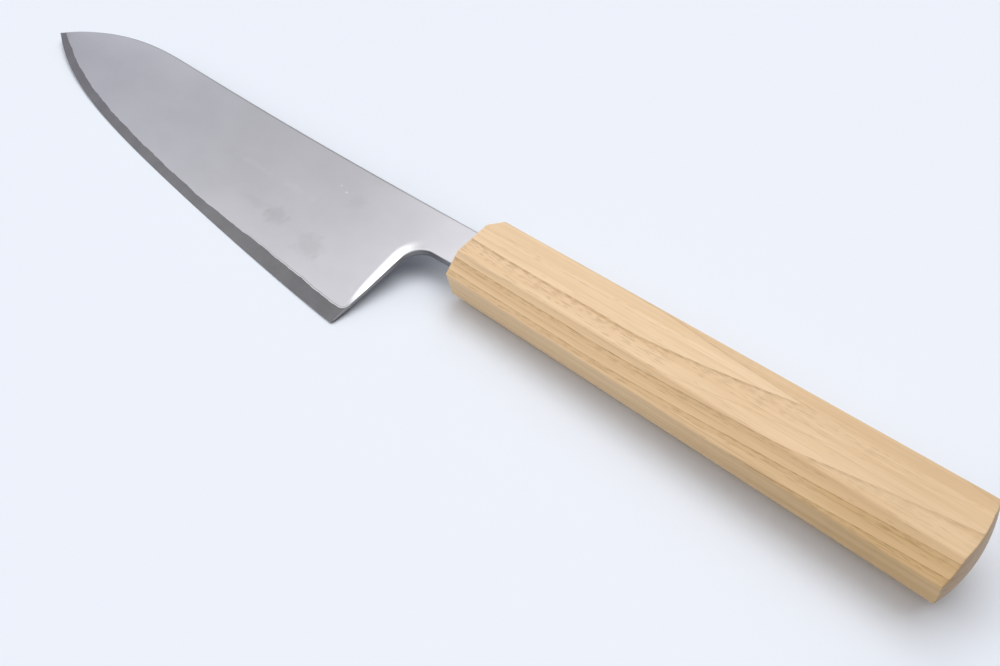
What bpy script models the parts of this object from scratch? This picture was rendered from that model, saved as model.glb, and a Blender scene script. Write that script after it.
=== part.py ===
"""Gyuto: a three-layer blade whose hidden tang is glued into a one-piece octagonal wooden handle.

The knife lies on the wide lower flat of its handle with the blade level.
+X runs from the tip to the butt, -Y is the cutting edge's side and +Z points up.
The left face of the blade is the upper one.
The origin is at the bottom of the knife's box, in the middle of its plan.

Points are worked out in the knife's own frame: X from the handle's front face,
Y from the handle's axis and Z from the blade's middle plane.
"""
import math

import bmesh
import bpy
from mathutils import Vector

MM = 0.001

# Blade outline
HEEL_FROM_HANDLE = 18.6 * MM
EDGE_LENGTH = 211.6 * MM
HEEL_DROP = 41.15 * MM
EDGE_LIFT = 17.1 * MM
EDGE_LIFT_POWER = 1.38
BELLY_LIFT = 13.2 * MM
BELLY_LIFT_POWER = 6.0
SPINE_RISE = 6.2 * MM
SPINE_HOLLOW = 0.9 * MM
NOSE_LENGTH = 65.0 * MM
NOSE_DROP = 16.8 * MM
NOSE_POWER = 2.5
TIP_WIDTH = 0.5 * MM

# Neck, choil and tang outline
NECK_DROP_AT_CHOIL = 7.3 * MM
NECK_DROP_AT_HANDLE = 6.7 * MM
CHOIL_RADIUS = 6.8 * MM
SHOULDER_DEPTH = 5.0 * MM
TANG_LENGTH = 95.0 * MM
TANG_HEIGHT_FRONT = 8.0 * MM
TANG_HEIGHT_END = 5.0 * MM

# Blade section
SPINE_THICKNESS_HEEL = 2.8 * MM
SPINE_THICKNESS_NOSE = 1.1 * MM
POINT_THICKNESS = 0.4 * MM
POINT_HEIGHT = 9.0 * MM
SPINE_EASE = 0.25 * MM
SPINE_EASE_MOST = 0.4
CORE_THICKNESS = 0.8 * MM
CORE_BAND_HEEL = 4.5 * MM
CORE_BAND_NOSE = 3.2 * MM
CORE_BAND_HEEL_RUN = 30.0 * MM
CORE_BAND_TURN = 50.0 * MM
CORE_BAND_MOST = 0.4
EDGE_THICKNESS = 0.06 * MM
FACE_CONVEXITY = 0.3 * MM

# Eased relief along the choil
RELIEF_WIDTH = 4.2 * MM
RELIEF_WIDTH_POWER = 0.35
RELIEF_LEAST_WIDTH = 0.3 * MM
RELIEF_DEPTH = 0.3 * MM
RELIEF_DEPTH_MOST = 0.7
RELIEF_END_POWER = 8.0

# Handle
HANDLE_LENGTH = 140.0 * MM
HANDLE_HEIGHT_FRONT = 24.0 * MM
HANDLE_HEIGHT_BUTT = 24.4 * MM
HANDLE_THICKNESS = 17.0 * MM
CHAMFER_HEIGHT = 6.2 * MM
CHAMFER_THICKNESS = 4.3 * MM
RIDGE_EASE = 0.4 * MM
BUTT_CROWN = 2.4 * MM
BORE_DIAMETER = 11.0 * MM
BORE_DEPTH = 99.0 * MM
MOUTH_DEPTH = 7.0 * MM

# Fits
GLUE_LINE = 0.6 * MM
JOINT_GAP = 0.3 * MM
CUT_MARGIN = 4.0 * MM

# Fineness of curved stretches
BLADE_STATIONS = 44
CLADDING_STEP = 0.1 * MM
CHOIL_ARC_STEPS = 10
RELIEF_STRAIGHT_STEPS = 6
CROWN_STEPS = 8
CROWN_SIDES = 48
BORE_SIDES = 32

STEEL_CORE_COLOUR = (0.19, 0.19, 0.20, 1.0)
STEEL_CLADDING_COLOUR = (0.55, 0.55, 0.56, 1.0)
WOOD_COLOUR = (0.70, 0.49, 0.27, 1.0)
GLUE_COLOUR = (0.25, 0.19, 0.12, 1.0)

HANDLE_END = HANDLE_LENGTH + BUTT_CROWN
HEEL_X = -HEEL_FROM_HANDLE
TIP_X = HEEL_X - EDGE_LENGTH
NOSE_X = TIP_X + NOSE_LENGTH
CORE_HALF = CORE_THICKNESS / 2
HANDLE_HALF_THICKNESS = HANDLE_THICKNESS / 2


def share(value, start, end):
    """Where value lies between start and end, kept from 0 to 1."""
    return min(max((value - start) / (end - start), 0.0), 1.0)


def ease(value):
    """An even run from 0 to 1 made to start and end softly."""
    return value * value * (3 - 2 * value)


# Outline of the blade


def spine_y(x):
    """Height of the spine: a slightly hollow back, then a nose that drops to the tip."""
    back = share(x, 0.0, NOSE_X)
    nose = share(x, NOSE_X, TIP_X)
    hollow = SPINE_HOLLOW * math.sin(math.pi * back)
    return SPINE_RISE - hollow - NOSE_DROP * nose ** NOSE_POWER


def edge_y(x):
    """Height of the cutting edge: nearly flat behind, with a belly towards the tip."""
    along = share(x, HEEL_X, TIP_X)
    lift = EDGE_LIFT * along ** EDGE_LIFT_POWER + BELLY_LIFT * along ** BELLY_LIFT_POWER
    lowest_at_tip = spine_y(x) - TIP_WIDTH
    return min(-HEEL_DROP + lift, lowest_at_tip)


def blade_height(x):
    return spine_y(x) - edge_y(x)


def core_line_y(x):
    """Where the cladding ends and the core shows."""
    turn_end = HEEL_X - CORE_BAND_HEEL_RUN
    turn = ease(share(x, turn_end - CORE_BAND_TURN, turn_end))
    band = CORE_BAND_NOSE + (CORE_BAND_HEEL - CORE_BAND_NOSE) * turn
    return edge_y(x) + min(band, CORE_BAND_MOST * blade_height(x))


def spine_half(x):
    """Half the thickness at the spine, which tapers to the nose and more where the blade gets low."""
    along = share(x, HEEL_X, TIP_X)
    taper = SPINE_THICKNESS_HEEL + (SPINE_THICKNESS_NOSE - SPINE_THICKNESS_HEEL) * along
    behind_point = share(blade_height(x), TIP_WIDTH, POINT_HEIGHT)
    return (POINT_THICKNESS + (taper - POINT_THICKNESS) * behind_point) / 2


def face_half(x, y):
    """Half the thickness of the clad blade at a point of its face, a little convex."""
    up = share(y, core_line_y(x), spine_y(x))
    bulge = FACE_CONVEXITY * 4 * up * (1 - up)
    return CORE_HALF + (spine_half(x) - CORE_HALF) * up + bulge * share(blade_height(x), 0.0, HEEL_DROP)


def blade_stations(last):
    """Places along the blade, from the tang's end to last, closer together towards the tip."""
    places = [TANG_LENGTH, 0.0, HEEL_X]
    for step in range(1, BLADE_STATIONS + 1):
        turn = math.pi / 2 * step / BLADE_STATIONS
        places.append(HEEL_X + (last - HEEL_X) * math.sin(turn))
    return places


# Making meshes


def clear_scene():
    for scene_object in list(bpy.data.objects):
        bpy.data.objects.remove(scene_object, do_unlink=True)


def make_collection(name):
    collection = bpy.data.collections.new(name)
    bpy.context.scene.collection.children.link(collection)
    return collection


def make_material(name, colour, roughness, metallic):
    material = bpy.data.materials.new(name)
    material.use_nodes = True
    surface = material.node_tree.nodes["Principled BSDF"]
    surface.inputs["Base Color"].default_value = colour
    surface.inputs["Roughness"].default_value = roughness
    surface.inputs["Metallic"].default_value = metallic
    return material


def mesh_object(name, bm, collection):
    bmesh.ops.recalc_face_normals(bm, faces=bm.faces[:])
    mesh = bpy.data.meshes.new(name)
    bm.to_mesh(mesh)
    bm.free()
    made = bpy.data.objects.new(name, mesh)
    collection.objects.link(made)
    return made


def loft(name, sections, collection):
    """A closed body through sections that have the same number of points."""
    bm = bmesh.new()
    rings = [[bm.verts.new(point) for point in section] for section in sections]
    for ring, following in zip(rings, rings[1:]):
        for index in range(len(ring)):
            after = (index + 1) % len(ring)
            bm.faces.new((ring[index], ring[after], following[after], following[index]))
    bm.faces.new(rings[0])
    bm.faces.new(rings[-1])
    return mesh_object(name, bm, collection)


def flat_cutter(name, outlines, half_height, collection):
    """Flat outlines given thickness, as a mesh that a Boolean can use."""
    curve = bpy.data.curves.new(name, "CURVE")
    curve.dimensions = "2D"
    curve.fill_mode = "BOTH"
    curve.extrude = half_height
    for outline in outlines:
        spline = curve.splines.new("POLY")
        spline.points.add(len(outline) - 1)
        for point, (x, y) in zip(spline.points, outline):
            point.co = (x, y, 0.0, 1.0)
        spline.use_cyclic_u = True
    drawn = bpy.data.objects.new(name + "_outline", curve)
    collection.objects.link(drawn)
    bpy.context.view_layer.update()
    evaluated = drawn.evaluated_get(bpy.context.evaluated_depsgraph_get())
    bm = bmesh.new()
    bm.from_mesh(bpy.data.meshes.new_from_object(evaluated))
    bpy.data.objects.remove(drawn, do_unlink=True)
    bmesh.ops.remove_doubles(bm, verts=bm.verts[:], dist=0.000001)
    return mesh_object(name, bm, collection)


def box(name, low, high, collection):
    bm = bmesh.new()
    bmesh.ops.create_cube(bm, size=1.0)
    size = Vector(high) - Vector(low)
    middle = (Vector(high) + Vector(low)) / 2
    bmesh.ops.scale(bm, vec=size, verts=bm.verts[:])
    bmesh.ops.translate(bm, vec=middle, verts=bm.verts[:])
    return mesh_object(name, bm, collection)


def rod(name, radius, start, end, collection):
    """A round bar along X."""
    bm = bmesh.new()
    bmesh.ops.create_cone(
        bm, cap_ends=True, segments=BORE_SIDES, radius1=radius, radius2=radius, depth=end - start
    )
    for vert in bm.verts:
        vert.co = Vector((vert.co.z + (start + end) / 2, vert.co.x, vert.co.y))
    return mesh_object(name, bm, collection)


def cut(target, cutter, operation="DIFFERENCE"):
    modifier = target.modifiers.new(cutter.name, "BOOLEAN")
    modifier.operation = operation
    modifier.solver = "EXACT"
    modifier.object = cutter


# Outline cuts of the neck, choil and tang


def fillet(before, corner, after, radius, steps):
    """Points of the arc that rounds a corner."""
    corner = Vector(corner)
    back = (Vector(before) - corner).normalized()
    ahead = (Vector(after) - corner).normalized()
    half_angle = math.acos(back.dot(ahead)) / 2
    centre = corner + (back + ahead).normalized() * radius / math.sin(half_angle)
    reach = radius / math.tan(half_angle)
    start = corner + back * reach - centre
    end = corner + ahead * reach - centre
    turn = start.angle_signed(end)
    points = []
    for step in range(steps + 1):
        angle = -turn * step / steps
        cos, sin = math.cos(angle), math.sin(angle)
        points.append(centre + Vector((start.x * cos - start.y * sin, start.x * sin + start.y * cos)))
    return points


def neck_y(x):
    """Lower line of the neck, from the choil to the tang's shoulder."""
    return -NECK_DROP_AT_HANDLE + (NECK_DROP_AT_HANDLE - NECK_DROP_AT_CHOIL) * share(x, 0.0, HEEL_X)


def choil_arc():
    """The rounded corner from the choil's straight wall to the neck."""
    below = (HEEL_X, -HEEL_DROP)
    corner = (HEEL_X, neck_y(HEEL_X))
    beyond = (0.0, neck_y(0.0))
    return fillet(below, corner, beyond, CHOIL_RADIUS, CHOIL_ARC_STEPS)


def profile_waste(collection):
    """What is cut away below the neck and round the tang."""
    floor = -HEEL_DROP - CUT_MARGIN
    past_end = TANG_LENGTH + CUT_MARGIN
    half_front = TANG_HEIGHT_FRONT / 2
    half_end = TANG_HEIGHT_END / 2
    slope = (half_end - half_front) / (TANG_LENGTH - SHOULDER_DEPTH)
    half_past = half_end + slope * CUT_MARGIN
    below = [(HEEL_X, floor)]
    below += [tuple(point) for point in choil_arc()]
    below += [(0.0, neck_y(0.0)), (SHOULDER_DEPTH, neck_y(0.0)), (SHOULDER_DEPTH, -half_front)]
    below += [(past_end, -half_past), (past_end, floor)]
    ceiling = SPINE_RISE + CUT_MARGIN
    above = [(SHOULDER_DEPTH, ceiling), (SHOULDER_DEPTH, half_front)]
    above += [(past_end, half_past), (past_end, ceiling)]
    return flat_cutter("profile_waste", [below, above], SPINE_THICKNESS_HEEL, collection)


def choil_path():
    """Points along the choil with the direction into the steel, from near the heel to the neck."""
    arc = choil_arc()
    start = Vector((HEEL_X, -HEEL_DROP + CORE_BAND_HEEL))
    end = arc[0]
    path = []
    for step in range(RELIEF_STRAIGHT_STEPS):
        path.append((start.lerp(end, step / RELIEF_STRAIGHT_STEPS), Vector((-1.0, 0.0))))
    centre = arc[0] + Vector((CHOIL_RADIUS, 0.0))
    for point in arc:
        path.append((point, (point - centre).normalized()))
    return path


def choil_relief(name, side, collection):
    """A sloping cut that eases the face down to the choil on one side of the blade."""
    path = choil_path()
    lengths = [0.0]
    for (point, _), (following, _) in zip(path, path[1:]):
        lengths.append(lengths[-1] + (following - point).length)
    sections = []
    for (point, inward), length in zip(path, lengths):
        along = length / lengths[-1]
        fade = 1 - along ** RELIEF_END_POWER
        width = RELIEF_WIDTH * along ** RELIEF_WIDTH_POWER * fade + RELIEF_LEAST_WIDTH
        inner = point + inward * width
        inner_height = face_half(inner.x, inner.y)
        wall_height = face_half(point.x, point.y)
        drop = min(RELIEF_DEPTH, RELIEF_DEPTH_MOST * (wall_height - CORE_HALF)) * fade
        slope = (inner_height - wall_height + drop) / width
        outer = point - inward * CUT_MARGIN / 2
        outer_height = wall_height - drop - slope * CUT_MARGIN / 2
        top = SPINE_THICKNESS_HEEL
        sections.append([
            (inner.x, inner.y, side * inner_height),
            (outer.x, outer.y, side * outer_height),
            (outer.x, outer.y, side * top),
            (inner.x, inner.y, side * top),
        ])
    return loft(name, sections, collection)


# Pieces


def core_section(x):
    top, line, edge = spine_y(x), core_line_y(x), edge_y(x)
    half = min(CORE_HALF, spine_half(x))
    thin = EDGE_THICKNESS / 2
    left = [(x, top, half), (x, line, half), (x, edge, thin)]
    right = [(x, edge, -thin), (x, line, -half), (x, top, -half)]
    return left + right


def cladding_section(x, side):
    top, line = spine_y(x), core_line_y(x)
    half = spine_half(x)
    ease = min(SPINE_EASE, SPINE_EASE_MOST * (half - CORE_HALF))
    points = [(x, line, side * CORE_HALF)]
    for up in (0.25, 0.5, 0.75):
        y = line + (top - line) * up
        points.append((x, y, side * face_half(x, y)))
    points += [(x, top - ease, side * half), (x, top, side * (half - ease)), (x, top, side * CORE_HALF)]
    return points


def cladding_end():
    """The place near the tip where the blade gets too thin to hold cladding."""
    x = TIP_X
    while x < HEEL_X and spine_half(x) < CORE_HALF + EDGE_THICKNESS:
        x += CLADDING_STEP
    return x


def blade(parts, cutters):
    waste = profile_waste(cutters)
    core = loft("core_steel", [core_section(x) for x in blade_stations(TIP_X)], parts)
    core.data.materials.append(make_material("core_steel", STEEL_CORE_COLOUR, 0.35, 1.0))
    cut(core, waste)
    cladding = make_material("cladding", STEEL_CLADDING_COLOUR, 0.32, 1.0)
    for name, side in (("cladding_left", 1), ("cladding_right", -1)):
        sections = [cladding_section(x, side) for x in blade_stations(cladding_end())]
        layer = loft(name, sections, parts)
        layer.data.materials.append(cladding)
        cut(layer, waste)
        cut(layer, choil_relief(name + "_relief", side, cutters))


def octagon(x, height):
    a, b = height / 2, HANDLE_HALF_THICKNESS
    flat_y, flat_z = a - CHAMFER_HEIGHT, b - CHAMFER_THICKNESS
    return [
        (x, flat_y, b), (x, a, flat_z), (x, a, -flat_z), (x, flat_y, -b),
        (x, -flat_y, -b), (x, -a, -flat_z), (x, -a, flat_z), (x, -flat_y, b),
    ]


def crown_cutter(collection):
    """Turned waste beyond the crowned butt."""
    reach = HANDLE_HEIGHT_BUTT / 2 + CUT_MARGIN
    corner = math.hypot(HANDLE_HEIGHT_BUTT / 2, HANDLE_HALF_THICKNESS - CHAMFER_THICKNESS)
    radius = (corner ** 2 + BUTT_CROWN ** 2) / (2 * BUTT_CROWN)
    centre = HANDLE_END - radius
    back = HANDLE_END + CUT_MARGIN
    profile = [(back, 0.0), (back, reach)]
    widest = math.asin(reach / radius)
    for step in range(CROWN_STEPS + 1):
        angle = widest * (1 - step / CROWN_STEPS)
        profile.append((centre + radius * math.cos(angle), radius * math.sin(angle)))
    bm = bmesh.new()
    points = [bm.verts.new((x, y, 0.0)) for x, y in profile]
    for first, second in zip(points, points[1:]):
        bm.edges.new((first, second))
    turned = mesh_object("crown_cutter", bm, collection)
    screw = turned.modifiers.new("turn", "SCREW")
    screw.axis = "X"
    screw.steps = CROWN_SIDES
    screw.render_steps = CROWN_SIDES
    screw.use_merge_vertices = True
    screw.merge_threshold = 0.00001
    return turned


def handle(parts, cutters):
    sections = [octagon(0.0, HANDLE_HEIGHT_FRONT), octagon(HANDLE_END, HANDLE_HEIGHT_BUTT)]
    body = loft("handle", sections, parts)
    body.data.materials.append(make_material("handle_wood", WOOD_COLOUR, 0.55, 0.0))
    ease = body.modifiers.new("ridge_ease", "BEVEL")
    ease.width = RIDGE_EASE
    ease.segments = 2
    ease.limit_method = "ANGLE"
    ease.angle_limit = math.radians(20)
    cut(body, crown_cutter(cutters))
    cut(body, rod("bore", BORE_DIAMETER / 2, -CUT_MARGIN, BORE_DEPTH, cutters))
    low, high = mouth_corners(-CUT_MARGIN, MOUTH_DEPTH, GLUE_LINE + 2 * JOINT_GAP)
    cut(body, box("mouth", low, high, cutters))


def mouth_corners(start, end, wall):
    """Corners of a block round the neck, with wall to spare on every side."""
    half = SPINE_THICKNESS_HEEL / 2 + wall
    return (start, neck_y(0.0) - wall, -half), (end, SPINE_RISE + wall, half)


def tang_space(collection):
    """The room that the neck and the tang need inside the glue."""
    past_end = TANG_LENGTH + JOINT_GAP
    shoulder = SHOULDER_DEPTH + JOINT_GAP
    half_front = TANG_HEIGHT_FRONT / 2 + JOINT_GAP
    half_end = TANG_HEIGHT_END / 2 + JOINT_GAP
    neck_low, neck_high = neck_y(0.0) - JOINT_GAP, SPINE_RISE + JOINT_GAP
    outline = [(-CUT_MARGIN, neck_high), (shoulder, neck_high), (shoulder, half_front)]
    outline += [(past_end, half_end), (past_end, -half_end), (shoulder, -half_front)]
    outline += [(shoulder, neck_low), (-CUT_MARGIN, neck_low)]
    return flat_cutter("tang_space", [outline], SPINE_THICKNESS_HEEL / 2 + JOINT_GAP, collection)


def tang_glue(parts, cutters):
    """The glue that fills the bore round the tang and shows as a thin line round the neck."""
    low, high = mouth_corners(0.0, MOUTH_DEPTH - JOINT_GAP, GLUE_LINE + JOINT_GAP)
    fill = box("tang_glue", low, high, parts)
    fill.data.materials.append(make_material("glue", GLUE_COLOUR, 0.4, 0.0))
    fill_end = BORE_DEPTH - JOINT_GAP
    bore_fill = rod("bore_fill", BORE_DIAMETER / 2 - JOINT_GAP, SHOULDER_DEPTH, fill_end, cutters)
    cut(fill, bore_fill, "UNION")
    cut(fill, tang_space(cutters))


def lay_on_table(collection, *groups):
    """Brings the middle of the knife's box to the origin and its lowest face to the ground."""
    place = bpy.data.objects.new("knife", None)
    collection.objects.link(place)
    middle_x = (TIP_X + HANDLE_END) / 2
    middle_y = (HANDLE_HEIGHT_BUTT / 2 - HEEL_DROP) / 2
    place.location = (-middle_x, -middle_y, HANDLE_HALF_THICKNESS)
    for group in groups:
        for member in group.objects:
            if member is not place:
                member.parent = place


def build_knife():
    clear_scene()
    parts = make_collection("gyuto_knife")
    cutters = make_collection("cutters")
    blade(parts, cutters)
    handle(parts, cutters)
    tang_glue(parts, cutters)
    lay_on_table(parts, parts, cutters)
    for cutter in cutters.objects:
        cutter.hide_render = True
        cutter.display_type = "WIRE"


build_knife()
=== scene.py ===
"""Looks of the gyuto: satin laminated blade, dark core along the edge, octagonal wooden handle.

Shapes are worked out in the knife's own frame, in millimetres: X runs from the handle's front face
to the butt, Y from the handle's axis to the spine and Z up from the blade's middle plane.
"""

import math

import bmesh
import bpy
from mathutils import Matrix, Vector


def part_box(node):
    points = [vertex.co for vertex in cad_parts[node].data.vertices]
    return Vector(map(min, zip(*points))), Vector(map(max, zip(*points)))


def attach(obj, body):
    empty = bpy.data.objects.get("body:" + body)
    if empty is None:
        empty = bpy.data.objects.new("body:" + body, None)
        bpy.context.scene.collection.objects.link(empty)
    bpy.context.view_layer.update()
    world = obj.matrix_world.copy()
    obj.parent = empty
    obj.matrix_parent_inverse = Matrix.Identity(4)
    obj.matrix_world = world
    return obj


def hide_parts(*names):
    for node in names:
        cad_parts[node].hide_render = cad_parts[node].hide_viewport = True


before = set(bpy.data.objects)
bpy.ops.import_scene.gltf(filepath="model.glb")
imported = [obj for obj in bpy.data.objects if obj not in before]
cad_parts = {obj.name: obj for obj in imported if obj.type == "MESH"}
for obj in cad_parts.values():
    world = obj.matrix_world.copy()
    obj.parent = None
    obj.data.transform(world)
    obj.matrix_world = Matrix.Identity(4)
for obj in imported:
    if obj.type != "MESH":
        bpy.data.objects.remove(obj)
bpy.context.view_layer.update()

MM = 0.001

handle_low, handle_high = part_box("handle")
blade_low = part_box("core_steel")[0]
AXIS = Vector((
    handle_low.x,
    (handle_low.y + handle_high.y) / 2,
    (handle_low.z + handle_high.z) / 2,
))

# Blade outline
TIP_X = (blade_low.x - AXIS.x) / MM
HEEL_X = -18.6
HEEL_DROP = 41.15
EDGE_LIFT = 17.1
EDGE_LIFT_POWER = 1.38
BELLY_LIFT = 13.2
BELLY_LIFT_POWER = 6.0
SPINE_RISE = 6.2
SPINE_HOLLOW = 0.9
NOSE_LENGTH = 65.0
NOSE_X = TIP_X + NOSE_LENGTH
NOSE_DROP = 16.8
NOSE_POWER = 2.5
TIP_WIDTH = 0.5
NECK_DROP_AT_CHOIL = 7.3
NECK_DROP_AT_HANDLE = 6.7
CHOIL_RADIUS = 6.8
SHOULDER_DEPTH = 5.0
TANG_LENGTH = 95.0
TANG_HALF_FRONT = 4.0
TANG_HALF_END = 2.5

# Blade section
SPINE_THICKNESS_HEEL = 2.8
SPINE_THICKNESS_NOSE = 1.1
POINT_THICKNESS = 0.4
POINT_HEIGHT = 9.0
SPINE_EASE = 0.25
CORE_HALF = 0.4
CORE_BAND_HEEL = 4.5
CORE_BAND_NOSE = 3.2
CORE_BAND_TURN_X = HEEL_X - 30.0
CORE_BAND_TURN = 50.0
CORE_BAND_TIP = 2.6
CORE_BAND_TIP_RUN = 18.0
CORE_PART = 0.7
EDGE_HALF = 0.03
FACE_CONVEXITY = 0.3
CORE_HEEL_RADIUS = 0.6
CLADDING_HEEL_RADIUS = 2.4

# Ground line between cladding and core: length and height of each ripple, and where it starts
RIPPLES = ((22.0, 0.09, 0.4), (9.3, 0.07, 2.1), (4.1, 0.05, 4.0), (2.3, 0.03, 0.9))
RIPPLE_FLOOR = 0.15

# Polished relief along the choil, and the rounding of the choil's wall
RELIEF_WIDTH = 4.1
RELIEF_WIDTH_AT_HEEL = 1.2
RELIEF_WIDTH_POWER = 0.6
RELIEF_DEPTH = 0.3
RELIEF_END_X = HEEL_X + 4.2
RELIEF_RUN_OUT = 0.72
RELIEF_FADE = 0.3
RELIEF_OPENING = 4
RELIEF_LIMIT = 0.4
WALL_ROUNDING = 0.45
WALL_ROUNDING_START = 6.0

# Handle
HANDLE_LENGTH = 140.0
HALF_HEIGHT_FRONT = 12.0
HALF_HEIGHT_BUTT = 12.2
HALF_THICKNESS = 8.5
CHAMFER_HEIGHT = 6.2
CHAMFER_THICKNESS = 4.3
RIDGE_EASE = 0.45
BUTT_CROWN = 2.4
BUTT_RIM_EASE = 0.35
FRONT_RIM_EASE = 0.9
BORE_RADIUS = 5.5
BORE_DEPTH = 99.0
MOUTH_DEPTH = 7.0
MOUTH_WALL = 0.95
MOUTH_HALF_THICKNESS = 2.35
FRONT_SLANT = 0.02
FRONT_SHIFT = 0.6
FRONT_SLANT_RUN = 5.0

# Light: the even level of the room, and its soft bright panels, each with the direction in which it
# stands, its height above the horizon and its spread, all in degrees, and its level
ROOM_LEVEL = 0.16
ROOM_COLOUR = (1.0, 1.0, 1.04)
PANELS = (
    (60.0, 57.0, 28.0, 2.09),
    (120.0, 57.0, 28.0, 1.80),
    (108.0, 33.0, 30.0, 1.49),
    (180.0, 57.0, 28.0, 0.89),
    (198.0, 33.0, 30.0, 0.88),
    (240.0, 57.0, 28.0, 1.30),
    (157.0, 18.0, 13.0, 1.59),
    (157.0, 66.0, 13.0, 0.37),
)
PANEL_CORE = 0.3

# The pale backdrop that the camera sees past the floor, and the pale wall on the near right that only
# shows in reflections: its direction, the cosines at which it starts and is full, and its level
BACKDROP_COLOUR = (0.84, 0.887, 0.97)
WALL_DIRECTION = Vector((0.85, -0.5, 0.15))
WALL_START = -0.25
WALL_FULL = 0.45
WALL_LEVEL = 0.7

# How close points are merged, how short an edge is dissolved, and the smallest length to divide by
WELD = 0.0005
SLIVER = 0.0002
TINY = 1e-9

# Edges that meet at more than this many degrees stay sharp
SHARP_ANGLE = 30.0
SHARP_ANGLE_WOOD = 50.0

# Faces of the handle's mesh; the butt's rim is found by its angle, in radians, and its place
RIDGE_SEGMENTS = 4
FRONT_RIM_SEGMENTS = 5
BUTT_RIM_SEGMENTS = 3
BUTT_RIM_ANGLE = 0.6
BUTT_RIM_REACH = 1.0
CROWN_RINGS = 9
CROWN_PART = 0.2
CROWN_STEP = 1.05
CROWN_CUTS = 7
BAR_CUTS = 28
FRONT_RING = 0.9
BORE_SIDES = 32
CLOSE = 0.001

# Columns of the blade's meshes
BLADE_COLUMNS = 160
FLOOR_COLUMNS = 60
CORNER_COLUMNS = 20
WALL_COLUMNS = 90
ARC_COLUMNS = 50
NECK_COLUMNS = 24
FAN_X = HEEL_X - 30.0
FAN_AT_TURN_X = HEEL_X - 17.0
FAN_AT_WALL_X = HEEL_X - 14.5
FAN_AT_ARC_X = HEEL_X - 2.5
HEEL_STRETCH = 4.0
ARC_STEPS = 24
TANG_COLUMNS = 8
TANG_STEP = 0.05

# Rows of the blade's meshes, as parts of the way from the edge or the relief to the spine
CORE_SPOTS = (0.0, 0.02, 0.04, 0.06, 0.08, 0.1, 0.13, 0.17, 0.25, 0.4, 0.6, 0.8, 1.0)
RELIEF_SPOTS = (0.12, 0.25, 0.4, 0.55, 0.7, 0.8, 0.9, 1.0)
FACE_SPOTS = (0.02, 0.05, 0.09, 0.15, 0.22, 0.3, 0.4, 0.5, 0.6, 0.7, 0.8, 0.9, 0.96)
WALL_STEPS = 6
EASE_STEPS = 4

# Rows just under the spine: how far below it each lies, and how much painted shade it carries
SPINE_GAPS = ((0.5, 0.0), (0.25, 0.45))
SPINE_GAP_LIMIT = 0.03
SPINE_EASE_LIMIT = 0.4
PAINTED_SHADE_AT_SHOULDER = 0.6

# Camera, found from the photograph, in the knife's own frame
CAMERA_PLACE = Vector((145.59, -98.06, 189.18))
CAMERA_LOOK = Vector((-0.51158, 0.34216, -0.78817))
CAMERA_RIGHT = Vector((0.7201, 0.6711, -0.1761))
CAMERA_LENS = 32.83
CAMERA_SENSOR = 36.0
CAMERA_NEAREST = 0.01
CAMERA_FARTHEST = 20.0

# The floor: the plane that the knife comes to rest on, and its finish
REST_UP = Vector((0.01829, 0.20736, 0.97809))
REST_OFFSET = 2.6748 * MM
FLOOR_REACH = 6.0
FLOOR_COLOUR = (0.82, 0.86, 0.93)
FLOOR_ROUGHNESS = 0.9
FLOOR_SPECULAR = 0.1

# Colours
STEEL_DIM = (0.505, 0.50, 0.53)
STEEL_PALE = (0.543, 0.538, 0.568)
# Painted reflection: the satin's bluer, slightly darker tint towards the tip
STEEL_TIP_PAINTED_REFLECTION = (0.97, 0.985, 1.05)
STEEL_STAIN = (0.26, 0.263, 0.272)
# A pale grey, for the glints, which are painted highlights, and for the pale line at the ground line
STEEL_GLINT_AND_PALE_LINE = (0.85, 0.85, 0.85)
STEEL_POLISHED = (0.79, 0.785, 0.795)
# Painted shade on the spine and on the choil's wall
STEEL_PAINTED_SHADE = (0.24, 0.24, 0.255)
CORE_DIM = (0.185, 0.183, 0.19)
CORE_PALE = (0.215, 0.213, 0.22)
CORE_SCRATCH = (0.16, 0.16, 0.17)
CORE_WALL = (0.3, 0.3, 0.305)
# Painted shade: the core's colour is darkened by this towards the heel
CORE_HEEL_PAINTED_SHADE = (0.8, 0.8, 0.81)
# Painted reflection: the core's bluer, darker tint towards the tip
CORE_TIP_PAINTED_REFLECTION = (0.92, 0.925, 1.0)
WOOD_LIGHT = (0.92, 0.70, 0.46)
WOOD_PALE = (0.86, 0.635, 0.40)
WOOD_MIDDLE = (0.82, 0.59, 0.36)
WOOD_TAN = (0.70, 0.475, 0.255)
WOOD_DARK = (0.36, 0.20, 0.085)
WOOD_PORE = (0.34, 0.19, 0.08)
WOOD_END = (0.36, 0.25, 0.165)
GLUE_DARK = (0.16, 0.11, 0.06)
GLUE_PALE = (0.26, 0.19, 0.11)

# Patterns of noise: how fine each is along, across and through the knife, its scale, detail and
# roughness, and for some a start of its own
STEEL_CLOUDS = ((0.5, 1.0, 1.0), 0.06, 4.0, 0.5)
STEEL_HAZE = ((0.8, 1.0, 1.0), 0.35, 4.0, 0.6)
STEEL_GRAIN = ((0.5, 10.0, 1.0), 0.9, 4.0, 0.6)
STAIN_OUTLINE = ((1.0, 1.0, 1.0), 0.35, 3.0, 0.55)
CORE_CLOUDS = ((1.0, 1.0, 1.0), 0.12, 3.0, 0.5)
CORE_GRAIN = ((1.0, 6.0, 1.0), 1.2, 4.0, 0.6)
WOOD_WANDER = ((0.03, 0.09, 0.09), 1.0, 2.0, 0.5)
WOOD_FIBRES = ((0.02, 0.7, 0.7), 1.0, 4.0, 0.55)
WOOD_FINE = ((0.10, 3.5, 3.5), 1.0, 3.0, 0.6)
WOOD_BROAD = ((0.010, 0.07, 0.07), 1.0, 2.0, 0.5)
WOOD_FADING = ((0.05, 0.25, 0.25), 1.0, 2.0, 0.5, (7.0, 3.0, 5.0))
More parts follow.
